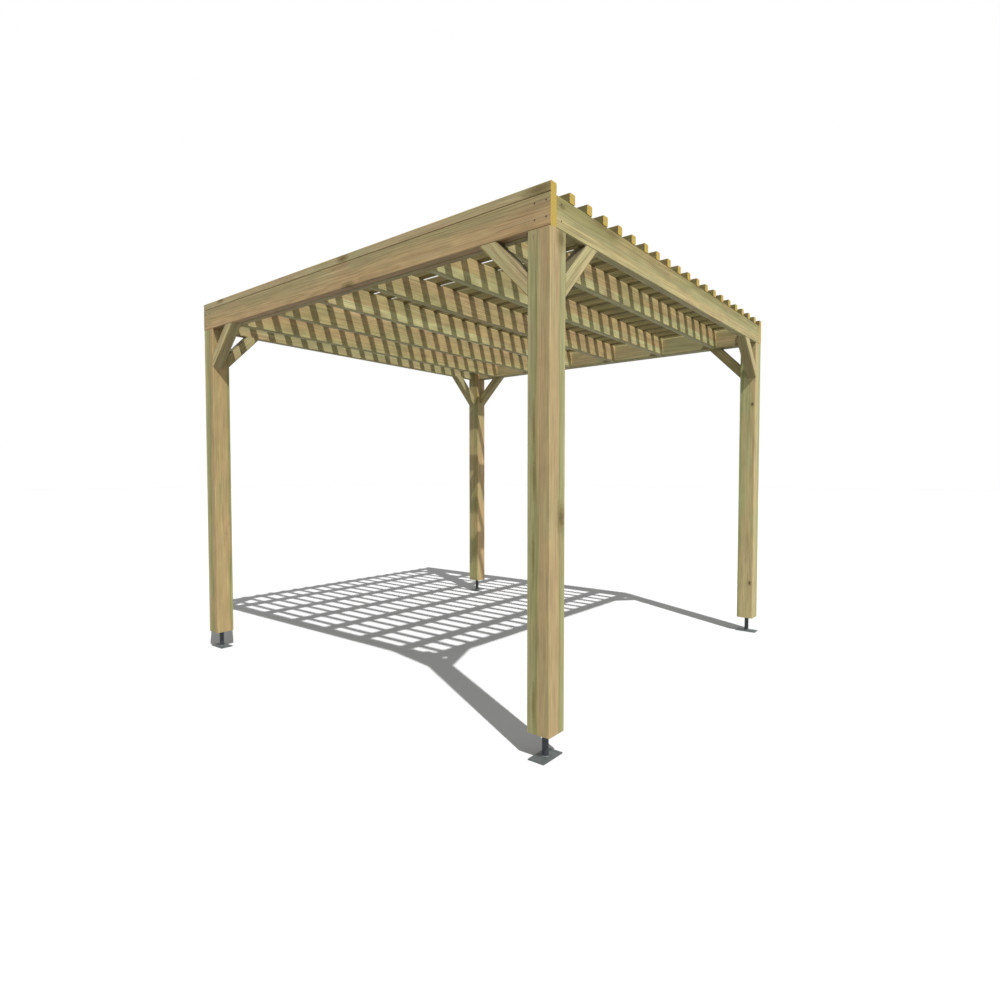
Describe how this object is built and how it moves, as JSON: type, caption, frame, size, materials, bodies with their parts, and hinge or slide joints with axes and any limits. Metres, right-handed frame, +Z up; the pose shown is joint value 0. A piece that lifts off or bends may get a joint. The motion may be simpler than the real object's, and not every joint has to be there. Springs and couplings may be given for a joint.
{
  "type": "timber pergola",
  "caption": "Square free-standing timber pergola: posts on steel feet carry edge beams, joists and a roof of slats, with a pair of corner braces at each post.",
  "frame": {"origin": "on the ground under the centre of the square roof, which is the centre of the box's underside", "axes": "+Z up; +X to the right along the front beam; +Y from the front beam to the back beam, along the slats"},
  "size_m": [3.03, 3.03, 2.482],
  "materials": {
    "foot_steel": "satin dark grey coating on steel",
    "post_timber": "planed pressure-treated softwood, unsealed",
    "brace_timber": "planed pressure-treated softwood, unsealed",
    "beam_timber": "planed pressure-treated softwood, unsealed",
    "joist_timber": "planed pressure-treated softwood, unsealed",
    "slat_timber": "planed pressure-treated softwood, unsealed"
  },
  "bodies": {
    "root": {"foot_front_left": "foot_steel", "foot_front_right": "foot_steel", "foot_back_left": "foot_steel", "foot_back_right": "foot_steel", "post_front_left": "post_timber", "post_front_right": "post_timber", "post_back_left": "post_timber", "post_back_right": "post_timber", "braces_front_left": "brace_timber", "braces_front_right": "brace_timber", "braces_back_left": "brace_timber", "braces_back_right": "brace_timber", "beam_front": "beam_timber", "beam_back": "beam_timber", "beam_left": "beam_timber", "beam_right": "beam_timber", "inner_beam_left": "beam_timber", "inner_beam_right": "beam_timber", "joist_1": "joist_timber", "joist_2": "joist_timber", "joist_3": "joist_timber", "joist_4": "joist_timber", "joist_5": "joist_timber", "joist_6": "joist_timber", "slat_01": "slat_timber", "slat_02": "slat_timber", "slat_03": "slat_timber", "slat_04": "slat_timber", "slat_05": "slat_timber", "slat_06": "slat_timber", "slat_07": "slat_timber", "slat_08": "slat_timber", "slat_09": "slat_timber", "slat_10": "slat_timber", "slat_11": "slat_timber", "slat_12": "slat_timber", "slat_13": "slat_timber", "slat_14": "slat_timber", "slat_15": "slat_timber", "slat_16": "slat_timber", "slat_17": "slat_timber", "slat_18": "slat_timber", "slat_19": "slat_timber", "slat_20": "slat_timber", "slat_21": "slat_timber"}
  },
  "joints": []
}
